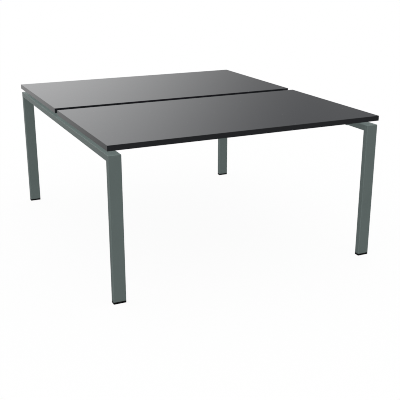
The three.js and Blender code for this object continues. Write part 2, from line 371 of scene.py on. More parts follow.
def softened(profile, cut, closed=True):
    """A polyline with each corner replaced by a curve.
    The curve is the parabola that leaves one side at the cut distance before the corner and joins the next
    side at the same distance after it. A point just beyond each end keeps the sides flat in shading."""
    corners = np.asarray(profile, float)
    cuts = np.broadcast_to(cut, len(corners)).astype(float)[:, None]
    towards_last = np.roll(corners, 1, axis=0) - corners
    towards_next = np.roll(corners, -1, axis=0) - corners
    towards_last /= np.linalg.norm(towards_last, axis=1, keepdims=True)
    towards_next /= np.linalg.norm(towards_next, axis=1, keepdims=True)
    start = (corners + cuts * towards_last)[:, None]
    stop = (corners + cuts * towards_next)[:, None]
    share = np.linspace(0, 1, EDGE_ROUND_STEPS + 1)[None, :, None]
    middle = corners[:, None]
    curve = (1 - share) ** 2 * start + 2 * share * (1 - share) * middle + share**2 * stop
    before = start + FLAT_SUPPORT_SHARE * (start - middle)
    after = stop + FLAT_SUPPORT_SHARE * (stop - middle)
    rows = np.concatenate([before, curve, after], axis=1)
    if closed:
        return rows.reshape(-1, 2)
    inner = rows[1:-1].reshape(-1, 2)
    return np.concatenate([corners[:1], inner, corners[-1:]])


def turned(profile, sides, wrap_rows=False):
    """A profile of (radius, height) turned about the Z axis.
    The radius may be one number per row, or one per row and side."""
    radius, height = profile
    angle = np.arange(sides) * 2 * np.pi / sides
    radius = np.broadcast_to(np.asarray(radius, float).reshape(len(height), -1), (len(height), sides))
    level = np.broadcast_to(np.asarray(height, float)[:, None], radius.shape)
    points = np.stack([radius * np.cos(angle), radius * np.sin(angle), level], axis=-1)
    return lattice(points, wrap_rows)


def hexagon_radius(flats, sides):
    """How far a hexagon's side lies from its middle at each angle.
    That is half its width across flats, over the cosine of the angle from the nearest flat's middle."""
    angle = np.arange(sides) * 2 * np.pi / sides
    sixth = np.pi / 3
    from_flat = (angle + sixth / 2) % sixth - sixth / 2
    return flats / 2 / np.cos(from_flat)


def lobed_radius(mean, lobe, sides):
    """How far a lobed socket's side lies from its middle at each angle.
    The radius swings about its mean by the lobe, with the cosine of the angle times the number of lobes."""
    angle = np.arange(sides) * 2 * np.pi / sides
    return mean + lobe * np.cos(SCREW_SOCKET_LOBES * angle)


def goal_post_rows(outward, foot, leg_line, rail_line):
    """Depth and height of one skin of a goal post, a row for each station along it.
    A point that stands outward from the tube's centre line goes up the leg, turns into the rail on a
    quarter circle, and meets its mirror image at the middle of the rail. The quarter circle's radius grows
    evenly from the inside of the bend to the outside."""
    corner_depth = -(leg_line + outward)
    corner_height = rail_line + outward
    share = (outward - outward.min()) / np.ptp(outward)
    fillet = POST_INNER_FILLET + (POST_OUTER_FILLET - POST_INNER_FILLET) * share
    turn = np.linspace(0, np.pi / 2, POST_FILLET_STEPS + 1)[:, None]
    arc_depth = corner_depth + fillet * (1 - np.cos(turn))
    arc_height = corner_height - fillet * (1 - np.sin(turn))
    level = np.zeros_like(outward)
    depths = [corner_depth, corner_depth, corner_depth, arc_depth, arc_depth[-1] + FLAT_SUPPORT, level]
    leg_heights = [level + foot, level + foot + FLAT_SUPPORT, arc_height[0] - FLAT_SUPPORT]
    rail_heights = [corner_height, corner_height]
    half = np.stack([np.vstack(depths), np.vstack([*leg_heights, arc_height, *rail_heights])], axis=-1)
    return np.concatenate([half, half[-2::-1] * (-1, 1)])


def goal_post(side):
    """A welded end frame as one hollow tube.
    Its outer skin runs from foot to foot, and its inner skin runs back."""
    leg_low, leg_middle, leg_size = box_of(f"leg_front_{side}")
    _, rail_middle, _ = box_of(f"rail_{side}")
    skins = []
    for loop in tube_loops(leg_size[0], leg_size[1]):
        across, outward = loop.T
        rows = goal_post_rows(outward, leg_low[2], -leg_middle[1], rail_middle[2])
        width = np.broadcast_to(leg_middle[0] + across, rows.shape[:2])[..., None]
        skins.append(np.concatenate([width, rows], axis=-1))
    return lattice(np.concatenate([skins[0], skins[1][::-1]]), wrap_rows=True)


def straight_tube(length, width, height):
    """A hollow beam along X: its outer outline at stations along it, then its inner outline back again."""
    half = length / 2
    stations = np.array([-half, FLAT_SUPPORT - half, half - FLAT_SUPPORT, half])
    skins = []
    for loop in tube_loops(width, height):
        along = np.broadcast_to(stations[:, None], (len(stations), len(loop)))[..., None]
        outline = np.broadcast_to(loop, (len(stations), *loop.shape))
        skins.append(np.concatenate([along, outline], axis=-1))
    return lattice(np.concatenate([skins[0], skins[1][::-1]]), wrap_rows=True)


def stacked_loops(widths, depths, rounds, heights):
    """Rounded outlines laid on top of each other, each with its own width, depth, corner round and height.
    The first and last close to a point in their middle."""
    loops = np.array([rounded_loop(*sizes) for sizes in zip(widths, depths, rounds)])
    level = np.broadcast_to(np.asarray(heights, float)[:, None, None], (*loops.shape[:2], 1))
    return capped(np.concatenate([loops, level], axis=-1))


def slab_edges(radius, thickness):
    """How far a slab's outline stands in from its sides, and at which heights, from one face to the other.
    Both edges are quarter circles, after one more point on the face that keeps it flat in shading."""
    swing = np.linspace(0, np.pi / 2, EDGE_ROUND_STEPS + 1)
    inset = np.concatenate([[radius + FLAT_SUPPORT], radius * (1 - np.sin(swing))])
    depth = np.concatenate([[0], radius * (1 - np.cos(swing))])
    return np.concatenate([inset, inset[::-1]]), np.concatenate([depth, thickness - depth[::-1]])


def flat_plate(thickness, width, height):
    """An end plate with its thickness along Z: one rounded outline, drawn in at the edges of both faces."""
    insets, heights = slab_edges(PLATE_EDGE_ROUND, thickness)
    rounds = PLATE_CORNER_ROUND - insets
    return stacked_loops(width - 2 * insets, height - 2 * insets, rounds, heights - thickness / 2)


def insert_body(width, depth, height, sole):
    """A leg's insert without its holes.
    The sole's outline is drawn in at both faces, and the plug's outline steps out to each rib and back."""
    sole_insets, sole_heights = slab_edges(SOLE_ROUND, sole)
    sole_rounds = TUBE_OUTER_ROUND - np.minimum(sole_insets, SOLE_ROUND)
    rib_inset = TUBE_WALL + PLUG_CLEARANCE
    core_inset = rib_inset + PLUG_RIB_DEPTH
    rib_pitch = (height - sole) / PLUG_RIBS
    rib_tops = sole + rib_pitch * np.arange(1, PLUG_RIBS + 1) - PLUG_RIB_THICKNESS
    rib_bottoms = rib_tops - PLUG_RIB_THICKNESS
    rib_heights = np.stack([rib_bottoms, rib_bottoms, rib_tops, rib_tops], axis=-1).ravel()
    rib_insets = np.tile([core_inset, rib_inset, rib_inset, core_inset], PLUG_RIBS)
    plug_insets = np.concatenate([[core_inset], rib_insets, [core_inset]])
    insets = np.concatenate([sole_insets, plug_insets])
    heights = np.concatenate([sole_heights, [sole], rib_heights, [height]])
    rounds = np.concatenate([sole_rounds, np.full_like(plug_insets, TUBE_INNER_ROUND)])
    return stacked_loops(width - 2 * insets, depth - 2 * insets, rounds, heights)


def stud_way(recess_radius, nut_bottom, nut_top, top):
    """What is taken out of an insert for the foot, turned from one profile.
    From below it is the pad's recess, the nut's hexagon above it, and the stud's bore to the top."""
    hexagon = hexagon_radius(NUT_POCKET_FLATS, PAD_SIDES)
    mouth = recess_radius + RECESS_CHAMFER
    bore = STUD_BORE_RADIUS
    radii = [0, mouth, mouth, recess_radius, recess_radius, hexagon, hexagon, bore, bore, 0]
    rows = np.stack([np.broadcast_to(radius, PAD_SIDES) for radius in radii])
    start = -HOLE_OVERRUN
    stop = top + HOLE_OVERRUN
    heights = [start, start, 0, RECESS_CHAMFER, nut_bottom, nut_bottom, nut_top, nut_top, stop, stop]
    return turned((rows, heights), PAD_SIDES)


def plug_pocket(sign, width, depth, bottom, top):
    """A hollow of the plug on one side of its boss: an upright rectangle carried across the plug's depth.
    Its outer side is straight, and its inner side follows the boss's circle."""
    across = np.linspace(-depth / 2, depth / 2, PLUG_POCKET_STEPS + 1)
    inner = sign * np.sqrt(PLUG_BOSS_RADIUS**2 - across**2)
    outer = np.full_like(across, sign * width / 2)
    start = np.full_like(across, bottom)
    stop = np.full_like(across, top + HOLE_OVERRUN)
    edges = [(inner, across, start), (outer, across, start), (outer, across, stop), (inner, across, stop)]
    return capped(np.stack([np.stack(edge, axis=-1) for edge in edges], axis=1))


def edge_strip(length, height, thickness, free_ends):
    """An edge band along X, its back at y = 0 and its face towards +Y.
    A rounded outline is a core line plus the round's radius along the outline's normal. Towards a free end
    the normal's share falls with the cosine of a quarter turn while the end moves out with its sine, so the
    end is rounded as the edges are."""
    quarter = np.linspace(0, np.pi / 2, BAND_ROUND_STEPS + 1)
    flat = height / 2 - BAND_ROUND
    shoulder = thickness - BAND_ROUND
    zero = np.zeros_like(quarter)
    core = np.concatenate(
        [
            [[0, -flat], [shoulder, -flat]],
            np.stack([zero + shoulder, zero - flat], axis=-1),
            [[shoulder, FLAT_SUPPORT - flat], [shoulder, flat - FLAT_SUPPORT]],
            np.stack([zero + shoulder, zero + flat], axis=-1),
            [[shoulder, flat], [0, flat], [0, flat], [0, -flat]],
        ]
    )
    normal = np.concatenate(
        [
            [[0, -1], [0, -1]],
            np.stack([np.sin(quarter), -np.cos(quarter)], axis=-1),
            [[1, 0], [1, 0]],
            np.stack([np.cos(quarter), np.sin(quarter)], axis=-1),
            [[0, 1], [0, 1], [0, 0], [0, 0]],
        ]
    )
    if free_ends:
        reach = length / 2 - BAND_ROUND
        ends = np.concatenate([[reach - FLAT_SUPPORT], reach + BAND_ROUND * np.sin(quarter)])
        shares = np.concatenate([[1], np.cos(quarter)])
    else:
        ends = np.array([length / 2 - FLAT_SUPPORT, length / 2])
        shares = np.array([1, 1])
    along = np.concatenate([-ends[::-1], ends])
    share = np.concatenate([shares[::-1], shares])
    outline = core + BAND_ROUND * share[:, None, None] * normal
    stations = np.broadcast_to(along[:, None, None], (*outline.shape[:2], 1))
    return capped(np.concatenate([stations, outline], axis=-1))


def bead_section(size):
    """A weld bead's section: a swollen quarter circle from one leg to the other.
    The third row says how near each point is to the middle of it, as the sine of twice its angle."""
    swing = np.linspace(0, np.pi / 2, BEAD_SECTION_STEPS + 1)
    swell = 1 + BEAD_SWELL * np.sin(2 * swing)
    return size * swell * np.cos(swing), size * swell * np.sin(swing), np.sin(2 * swing)


def bead_ripple(share, ripples, crown):
    """How a weld bead swells and sinks along its length: a cosine whose phase lags in the section's middle.
    That gives the curved ripples of a weld."""
    phase = 2 * np.pi * ripples * share[:, None] - BEAD_RIPPLE_LAG * crown
    return 1 + BEAD_RIPPLE_DEPTH * np.cos(phase)


def ring_bead(loop, size):
    """A weld bead round a closed outline in the YZ plane, in the corner of the plane x = 0 and a tube.
    At each point its rippled section spreads along the outline's outward normal and along -X."""
    closed = np.vstack([loop, loop[:1]])
    lengths = np.concatenate([[0], np.cumsum(np.linalg.norm(np.diff(closed, axis=0), axis=1))])
    ripples = round(lengths[-1] / BEAD_RIPPLE_PITCH)
    share = np.arange(ripples * BEAD_POINTS_PER_RIPPLE) / (ripples * BEAD_POINTS_PER_RIPPLE)
    path = np.stack([np.interp(share * lengths[-1], lengths, closed[:, axis]) for axis in (0, 1)], axis=-1)
    tangent = np.roll(path, -1, axis=0) - np.roll(path, 1, axis=0)
    tangent /= np.linalg.norm(tangent, axis=1, keepdims=True)
    normal = np.stack([tangent[:, 1], -tangent[:, 0]], axis=-1)
    outward, inward, crown = bead_section(size)
    ripple = bead_ripple(share, ripples, crown)
    root = np.zeros((len(path), 1))
    spread = np.hstack([outward * ripple, root]) - BEAD_BURIED
    rise = np.hstack([inward * ripple, root])
    plane = path[:, None] + spread[..., None] * normal[:, None]
    return lattice(np.concatenate([-rise[..., None], plane], axis=-1), wrap_rows=True)


def corner_bead(length, size):
    """A straight weld bead along X in the corner between a face towards +Y and a face towards -Z.
    It ripples as the ring bead does, and shrinks to a point at both ends as the fourth root of a sine."""
    ripples = round(length / BEAD_RIPPLE_PITCH)
    share = np.linspace(0, 1, ripples * BEAD_POINTS_PER_RIPPLE + 1)
    outward, inward, crown = bead_section(size)
    fade = np.clip(np.sin(np.pi * share), 0, 1)[:, None] ** BEAD_END_POWER
    ripple = fade * bead_ripple(share, ripples, crown)
    root = np.zeros((len(share), 1))
    spread = np.hstack([outward * ripple, root])
    drop = np.hstack([inward * ripple, root])
    along = np.broadcast_to(((share - 0.5) * length)[:, None], spread.shape)
    return lattice(np.stack([along, spread, -drop], axis=-1))


def spacer_disc(radius, height):
    """A spacer: the outline of half its section, rounded at its corners and turned into a ring."""
    outline = [[SPACER_BORE_RADIUS, 0], [radius, 0], [radius, height], [SPACER_BORE_RADIUS, height]]
    section = softened(outline, [SPACER_BORE_ROUND, SPACER_ROUND, SPACER_ROUND, SPACER_BORE_ROUND])
    return turned(section.T, SPACER_SIDES, wrap_rows=True)


def pad_moulding(radius, height):
    """A foot pad: a ring turned from its section, with an undercut for the stud's collar.
    Grip flutes draw the rim in with the cosine of the angle times their number, and tread rings lift the
    sole as a cosine of the distance from the middle."""
    undercut_top = height - PAD_ROOF
    corners = np.array(
        [
            (radius - PAD_CHAMFER, 0, PAD_EDGE_ROUND),
            (radius, PAD_CHAMFER, PAD_EDGE_ROUND),
            (radius, height, PAD_RIM_ROUND),
            (PAD_THROAT_RADIUS, height, PAD_EDGE_ROUND),
            (PAD_THROAT_RADIUS, undercut_top, PAD_INNER_ROUND),
            (PAD_UNDERCUT_RADIUS, undercut_top, PAD_INNER_ROUND),
            (PAD_UNDERCUT_RADIUS, PAD_FLOOR, PAD_INNER_ROUND),
            (PAD_ACCESS_RADIUS, PAD_FLOOR, PAD_INNER_ROUND),
            (PAD_ACCESS_RADIUS, 0, PAD_EDGE_ROUND),
        ]
    )
    section = softened(corners[:, :2], corners[:, 2])
    tread_start = PAD_ACCESS_RADIUS + PAD_TREAD_MARGIN
    tread_stop = radius - PAD_CHAMFER - PAD_TREAD_MARGIN
    tread_share = np.linspace(0, 1, PAD_TREAD_POINTS * PAD_TREAD_RINGS + 1)
    tread_radius = tread_start + (tread_stop - tread_start) * tread_share
    tread_height = PAD_TREAD_DEPTH * (1 - np.cos(2 * np.pi * PAD_TREAD_RINGS * tread_share)) / 2
    section = np.concatenate([section, np.stack([tread_radius, tread_height], axis=-1)])
    at_rim = section[:, 0] > radius - PAD_RIM_TOLERANCE
    below_top = section[:, 1] < height - PAD_FLUTE_TOP_GAP
    angle = np.arange(PAD_SIDES) * 2 * np.pi / PAD_SIDES
    flutes = PAD_FLUTE_DEPTH * (1 + np.cos(PAD_FLUTES * angle)) / 2
    rows = section[:, :1] - (at_rim & below_top)[:, None] * flutes
    return turned((rows, section[:, 1]), PAD_SIDES, wrap_rows=True)


def thread(start, stop, root, crest, pitch):
    """Radius and height of a screw thread, a row for each height and a column for each side.
    The radius swings between root and crest with the cosine of the height over the pitch less the angle's
    share of a turn, so the ridge climbs one pitch in each turn. It fades to the root at both ends."""
    count = round((stop - start) / pitch * THREAD_ROWS_PER_PITCH)
    heights = np.linspace(start, stop, count + 1)
    angle = np.arange(FASTENER_SIDES) * 2 * np.pi / FASTENER_SIDES
    phase = 2 * np.pi * heights[:, None] / pitch - angle
    fade = np.clip(np.minimum(heights - start, stop - heights) / pitch, 0, 1)[:, None]
    return root + (crest - root) * fade * (1 + np.cos(phase)) / 2, heights


def threaded_stud(collar_radius, bottom, top):
    """A levelling stud from its key socket's floor round its collar and up its thread to its top."""
    collar_top = bottom + STUD_COLLAR_THICKNESS
    socket_floor = bottom + STUD_SOCKET_DEPTH
    socket = hexagon_radius(STUD_SOCKET_FLATS, FASTENER_SIDES)
    thread_rows, thread_heights = thread(
        collar_top + STUD_PITCH, top - STUD_TIP_LENGTH, STUD_ROOT_RADIUS, STUD_CREST_RADIUS, STUD_PITCH
    )
    collar_outline = [
        [STUD_COLLAR_FLAT_RADIUS, bottom],
        [collar_radius, bottom],
        [collar_radius, collar_top],
        [STUD_ROOT_RADIUS, collar_top],
        [STUD_ROOT_RADIUS, top],
    ]
    collar = softened(collar_outline, FASTENER_ROUND, closed=False)[:-1]
    round_row = np.ones((1, FASTENER_SIDES))
    rows = np.vstack(
        [
            0 * round_row,
            socket,
            socket,
            socket + SOCKET_CHAMFER,
            collar[:, :1] * round_row,
            thread_rows,
            STUD_TIP_RADIUS * round_row,
            0 * round_row,
        ]
    )
    socket_heights = [socket_floor, socket_floor, bottom + SOCKET_CHAMFER, bottom]
    heights = np.concatenate([socket_heights, collar[:, 1], thread_heights, [top, top]])
    return turned((rows, heights), FASTENER_SIDES)


def rivet_nut(wall):
    """A rivet nut from its face at z = 0 down: a sleeve through a wall, and the bulge that grips it."""
    below = -wall - RIVET_NUT_BULGE_LENGTH
    outline = [
        [RIVET_NUT_BORE_RADIUS, 0],
        [RIVET_NUT_RADIUS, 0],
        [RIVET_NUT_RADIUS, -wall],
        [RIVET_NUT_BULGE_RADIUS, -wall],
        [RIVET_NUT_RADIUS, below],
        [RIVET_NUT_RADIUS, -RIVET_NUT_LENGTH],
        [RIVET_NUT_BORE_RADIUS, -RIVET_NUT_LENGTH],
    ]
    return turned(softened(outline, FASTENER_ROUND).T, FASTENER_SIDES, wrap_rows=True)


def round_hole(radius, start, stop):
    """A plain cylinder along Z, to be taken away."""
    return turned(([0, radius, radius, 0], [start, start, stop, stop]), HOLE_SIDES)


def fastener_shank(seat, length, plain_length, plain_radius, root, crest, pitch, tip_radius, tip_length):
    """Radius and height of a shank from its tip to the seat of its head.
    It is a short cone, a thread and a plain length."""
    tip = seat - length
    thread_stop = seat - plain_length
    rows, heights = thread(tip + tip_length, thread_stop, root, crest, pitch)
    round_row = np.ones((1, FASTENER_SIDES))
    plain_row = plain_radius * round_row
    rows = np.vstack([0 * round_row, tip_radius * round_row, rows, plain_row, plain_row])
    return rows, np.concatenate([[tip, tip], heights, [thread_stop + pitch, seat]])


def washer_ring(bore, radius, thickness):
    """A flat washer: a small rectangle with rounded corners, turned into a ring."""
    outline = [[bore, 0], [radius, 0], [radius, thickness], [bore, thickness]]
    return turned(softened(outline, FASTENER_ROUND).T, FASTENER_SIDES, wrap_rows=True)


def socket_head(shank, socket, radius, crown_radius, height, depth):
    """A domed head with a key socket, on a shank along Z.
    The dome is a quarter of an ellipse from the head's rim to its flat crown. The socket's own radius at
    each angle is carried straight down to its floor, which closes to the axis."""
    shank_rows, shank_heights = shank
    seat = shank_heights[-1]
    swing = np.linspace(0, np.pi / 2, HEAD_DOME_STEPS + 1)
    rim = seat + HEAD_RIM_SHARE * height
    crown = seat + height
    floor = crown - depth
    dome_radius = crown_radius + (radius - crown_radius) * np.cos(swing)
    dome_height = rim + (crown - rim) * np.sin(swing)
    head_radii = np.concatenate([[radius - FASTENER_ROUND, radius], dome_radius])
    round_rows = head_radii[:, None] * np.ones((1, FASTENER_SIDES))
    centre = np.zeros(FASTENER_SIDES)
    rows = np.vstack([shank_rows, round_rows, socket + SOCKET_CHAMFER, socket, socket, centre])
    rim_heights = [seat, seat + FASTENER_ROUND]
    socket_heights = [crown, crown - SOCKET_CHAMFER, floor, floor]
    heights = np.concatenate([shank_heights, rim_heights, dome_height, socket_heights])
    return turned((rows, heights), FASTENER_SIDES)


def fastener(shank, head, washer, socket):
    """A fastener along Z, its tip down, and its washer, which lies on z = 0 under its head."""
    body = socket_head(fastener_shank(washer["thickness"], **shank), socket, **head)
    return body, washer_ring(shank["crest"] + WASHER_CLEARANCE, **washer)


def plate_bolt():
    """A bolt with a hexagon socket, and its washer."""
    return fastener(BOLT_SHANK, BOLT_HEAD, BOLT_WASHER, hexagon_radius(BOLT_SOCKET_FLATS, FASTENER_SIDES))


def top_screw():
    """A wood screw with a lobed socket, and its washer."""
    socket = lobed_radius(SCREW_SOCKET_RADIUS, SCREW_SOCKET_LOBE, FASTENER_SIDES)
    return fastener(SCREW_SHANK, SCREW_HEAD, SCREW_WASHER, socket)


class Value:
    """A socket in a node tree. Arithmetic on values adds Math nodes, and node() adds any other node."""

    def __init__(self, tree, socket=None):
        self.tree = tree
        self.socket = socket

    def node(self, kind, settings=None, sockets=None, output=0):
        """A new node: its settings are set first, then its sockets get their values or links."""
        made = self.tree.nodes.new(kind)
        for name, setting in (settings or {}).items():
            setattr(made, name, setting)
        for name, value in (sockets or {}).items():
            if isinstance(value, Value):
                self.tree.links.new(value.socket, made.inputs[name])
            else:
                made.inputs[name].default_value = value
        return Value(self.tree, made.outputs[output] if len(made.outputs) else None)

    def math(self, operation, first, second=0):
        return self.node("ShaderNodeMath", {"operation": operation}, {0: first, 1: second})

    def __add__(self, other):
        return self.math("ADD", self, other)

    __radd__ = __add__

    def __sub__(self, other):
        return self.math("SUBTRACT", self, other)

    def __rsub__(self, other):
        return self.math("SUBTRACT", other, self)

    def __mul__(self, other):
        return self.math("MULTIPLY", self, other)

    __rmul__ = __mul__


def srgb(red, green, blue):
    """A colour given on the screen's scale of 0 to 255, as the linear colour that shaders use."""
    share = np.array([red, green, blue]) / 255
    linear = np.where(share <= 0.04045, share / 12.92, ((share + 0.055) / 1.055) ** 2.4)
    return (*linear.tolist(), 1)


def object_place(graph, axis=None):
    """Where a point lies on the object, or how far along one axis."""
    place = graph.node("ShaderNodeTexCoord", output="Object")
    if axis is None:
        return place
    return graph.node("ShaderNodeSeparateXYZ", sockets={"Vector": place}, output=axis)


def noise(graph, scale, detail=2.0, roughness=0.5):
    """Soft noise over the object, with features of about one over the scale in metres."""
    place = object_place(graph)
    sockets = {"Vector": place, "Scale": scale, "Detail": detail, "Roughness": roughness}
    return graph.node("ShaderNodeTexNoise", sockets=sockets)


def smooth_step(graph, value, low, high):
    """0 below low, 1 above high, and a smooth rise between."""
    sockets = {"Value": value, "From Min": low, "From Max": high}
    return graph.node("ShaderNodeMapRange", {"interpolation_type": "SMOOTHSTEP"}, sockets)


def mixed(graph, share, first, second):
    """A colour between two colours."""
    sockets = dict(zip(MIX_COLOUR_SOCKETS, (share, first, second)))
    return graph.node("ShaderNodeMix", {"data_type": "RGBA"}, sockets, output=MIX_COLOUR_RESULT)


def relief(graph, height, strength, distance):
    """A normal tilted by the slopes of a height."""
    sockets = {"Strength": strength, "Distance": distance, "Height": height}
    return graph.node("ShaderNodeBump", sockets=sockets)


def start_finish(name):
    """An empty material and the start of its node tree."""
    finish = bpy.data.materials.new(name)
    finish.use_nodes = True
    finish.node_tree.nodes.clear()
    return finish, Value(finish.node_tree)


def end_finish(finish, graph, sockets):
    """The principled shader with its sockets, joined to the material's output."""
    shader = graph.node("ShaderNodeBsdfPrincipled", sockets=sockets)
    graph.node("ShaderNodeOutputMaterial", sockets={"Surface": shader})
    return finish


def desk_laminate():
    """Anthracite melamine: a fine pearl emboss, faint specks in its print, and slow changes of sheen.
    The backing sheet under the board is dull."""
    finish, graph = start_finish("anthracite_laminate")
    pearl = noise(graph, scale=1300)
    specks = smooth_step(graph, noise(graph, scale=700, detail=3, roughness=0.6), low=0.45, high=0.7)
    sheen = noise(graph, scale=4, detail=3)
    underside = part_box("top_front")[0][2]
    above = smooth_step(graph, object_place(graph, "Z"), underside, underside + BACKING_SHEET)
    smooth = 0.03 + 0.02 * sheen + 0.02 * pearl
    dull = 0.45 + 0.1 * sheen + 0.1 * pearl
    sockets = {
        "Base Color": mixed(graph, specks, srgb(33, 35, 39), srgb(39, 41, 45)),
        "Roughness": dull + (smooth - dull) * above,
        "Specular IOR Level": 0.75,
        "Normal": relief(graph, pearl, strength=0.05, distance=0.15 * MM),
    }
    return end_finish(finish, graph, sockets)


def edge_plastic():
    """Edge band: the laminate's colour in plain plastic, a little darker, with a fine drawn grain."""
    finish, graph = start_finish("anthracite_edge_plastic")
    grain = noise(graph, scale=1800)
    wear = noise(graph, scale=14, detail=3)
    sockets = {
        "Base Color": mixed(graph, wear, srgb(20, 21, 24), srgb(25, 26, 29)),
        "Roughness": 0.1 + 0.05 * wear + 0.05 * grain,
        "Specular IOR Level": 0.5,
        "Normal": relief(graph, grain, strength=0.05, distance=0.1 * MM),
    }
    return end_finish(finish, graph, sockets)


def frame_paint():
    """Satin powder coat in a grey green: a shallow orange peel, and a fine dust of the powder over it."""
    finish, graph = start_finish("grey_green_powder_coat")
    peel = noise(graph, scale=420)
    dust = noise(graph, scale=2200)
    cloud = noise(graph, scale=6, detail=3)
    shade = 0.6 * cloud + 0.4 * dust
    sockets = {
        "Base Color": mixed(graph, shade, srgb(82, 92, 90), srgb(93, 103, 101)),
        "Roughness": 0.4 + 0.08 * cloud + 0.06 * dust,
        "Specular IOR Level": 0.42,
        "Normal": relief(graph, peel + 0.3 * dust, strength=0.5, distance=0.4 * MM),
    }
    return end_finish(finish, graph, sockets)


def black_plastic():
    """Black moulded plastic: a fine eroded grain and a few paler scuffs."""
    finish, graph = start_finish("black_moulded_plastic")
    grain = noise(graph, scale=2600)
    scuff = smooth_step(graph, noise(graph, scale=90, detail=4, roughness=0.65), low=0.56, high=0.72)
    sockets = {
        "Base Color": mixed(graph, scuff, srgb(6, 6, 7), srgb(13, 13, 14)),
        "Roughness": 0.5 + 0.1 * scuff + 0.08 * grain,
        "Specular IOR Level": 0.3,
        "Normal": relief(graph, grain, strength=0.12, distance=0.1 * MM),
    }
    return end_finish(finish, graph, sockets)


def zinc_steel():
    """Zinc-plated steel: a cold grey metal with cloudy changes of tint and shine."""
    finish, graph = start_finish("zinc_plated_steel")
    cloud = noise(graph, scale=260, detail=3)
    grain = noise(graph, scale=3000)
    sockets = {
        "Base Color": mixed(graph, cloud, srgb(186, 190, 195), srgb(205, 204, 198)),
        "Metallic": 1.0,
        "Roughness": 0.26 + 0.14 * cloud + 0.06 * grain,
        "Normal": relief(graph, grain, strength=0.06, distance=0.1 * MM),
    }
    return end_finish(finish, graph, sockets)


def dress(nodes, slot):
    """Gives the nodes that keep their solids the finish of a slot."""
    for node in nodes:
        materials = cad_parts[node].data.materials
        materials.clear()
        materials.append(finishes[slot])


def make_beam_end(place, side, inward, rail_face):
    """A beam's end plate, the two bolts in the middles of its wings with their rivet nuts, and its weld.
    Gives the places of the two bolts on the rail's face."""
    node = f"beam_plate_{place}_{side}"
    _, beam_middle, beam_size = box_of(f"beam_{place}")
    _, plate_middle, plate_size = box_of(node)
    plate_face = plate_middle[0] + inward * plate_size[0] / 2
    wing_middle = (beam_size[1] + plate_size[1]) / 4
    plate_drill = laid(round_hole(PLATE_HOLE_RADIUS, -plate_size[0], plate_size[0]), inward)
    nut = laid(rivet_nut(TUBE_WALL), inward)
    bolt = [laid(shell, inward) for shell in plate_bolt()]
    plate_holes = []
    fixings = []
    rail_places = []
    for offset in (-wing_middle, wing_middle):
        depth = plate_middle[1] + offset
        rail_place = (rail_face, depth, plate_middle[2])
        rail_places.append(rail_place)
        plate_holes.append(moved(plate_drill, (plate_middle[0], depth, plate_middle[2])))
        fixings.append(moved(nut, rail_place))
        fixings += [moved(shell, (plate_face, depth, plate_middle[2])) for shell in bolt]
    plate = moved(laid(flat_plate(*plate_size), inward), plate_middle)
    make_piece(f"{node}_drilled", [plate], "frame_paint", [node], holes=plate_holes)
    make_piece(f"plate_bolts_{place}_{side}", fixings, "zinc_steel", smooth_below=THREAD_SMOOTH_BELOW)
    bead = ring_bead(rounded_loop(beam_size[1], beam_size[2], TUBE_OUTER_ROUND), BEAM_BEAD_SIZE)
    bead = turned_to(bead, (-inward, 0, 0), (0, 1, 0), (0, 0, 1))
    bead = moved(bead, (plate_face, beam_middle[1], beam_middle[2]))
    make_piece(f"beam_weld_{place}_{side}", [bead], "frame_paint")
    return rail_places


def make_end_frame(side, inward):
    """An end frame with holes for rivet nuts, the beam ends on its rail, and the welds in its corners."""
    rail_low, rail_middle, rail_size = box_of(f"rail_{side}")
    rail_face = rail_middle[0] + inward * rail_size[0] / 2
    drill = laid(round_hole(RIVET_NUT_HOLE_RADIUS, -RIVET_NUT_LENGTH, HOLE_OVERRUN), inward)
    holes = []
    for place in BEAM_PLACES:
        holes += [moved(drill, spot) for spot in make_beam_end(place, side, inward, rail_face)]
    nodes = [f"rail_{side}"] + [f"leg_{end}_{side}" for end in ENDS]
    make_piece(f"end_frame_{side}", [goal_post(side)], "frame_paint", nodes, holes=holes)
    for end, sign in zip(ENDS, (1, -1)):
        _, leg_middle, leg_size = box_of(f"leg_{end}_{side}")
        bead = corner_bead(leg_size[0] - 2 * TUBE_OUTER_ROUND, CORNER_BEAD_SIZE)
        bead = turned_to(bead, (1, 0, 0), (0, sign, 0), (0, 0, 1))
        inside = (leg_middle[0], leg_middle[1] + sign * leg_size[1] / 2, rail_low[2])
        make_piece(f"corner_weld_{end}_{side}", [moved(bead, inside)], "frame_paint")


def make_cross_beam(place):
    """A cross beam with its screw holes, the spacers on it, and the screws up through both."""
    node = f"beam_{place}"
    _, beam_middle, beam_size = box_of(node)
    half_height = beam_size[2] / 2
    drill = round_hole(SCREW_HOLE_RADIUS, -half_height - HOLE_OVERRUN, half_height + HOLE_OVERRUN)
    holes = []
    for along in SPACER_PLACES:
        spacer = f"spacer_{place}_{along}"
        _, spacer_middle, spacer_size = box_of(spacer)
        base = spacer_middle - (0, 0, spacer_size[2] / 2)
        disc = moved(spacer_disc(spacer_size[0] / 2, spacer_size[2]), base)
        make_piece(f"{spacer}_disc", [disc], "black_plastic", [spacer])
        under = base - (0, 0, beam_size[2])
        upright = [turned_to(shell, (1, 0, 0), (0, -1, 0), (0, 0, -1)) for shell in top_screw()]
        shells = [moved(shell, under) for shell in upright]
        make_piece(f"top_screw_{place}_{along}", shells, "zinc_steel", smooth_below=THREAD_SMOOTH_BELOW)
        holes.append(moved(drill, base - (0, 0, half_height)))
    tube = moved(straight_tube(*beam_size), beam_middle)
    make_piece(f"{node}_tube", [tube], "frame_paint", [node], holes=holes)


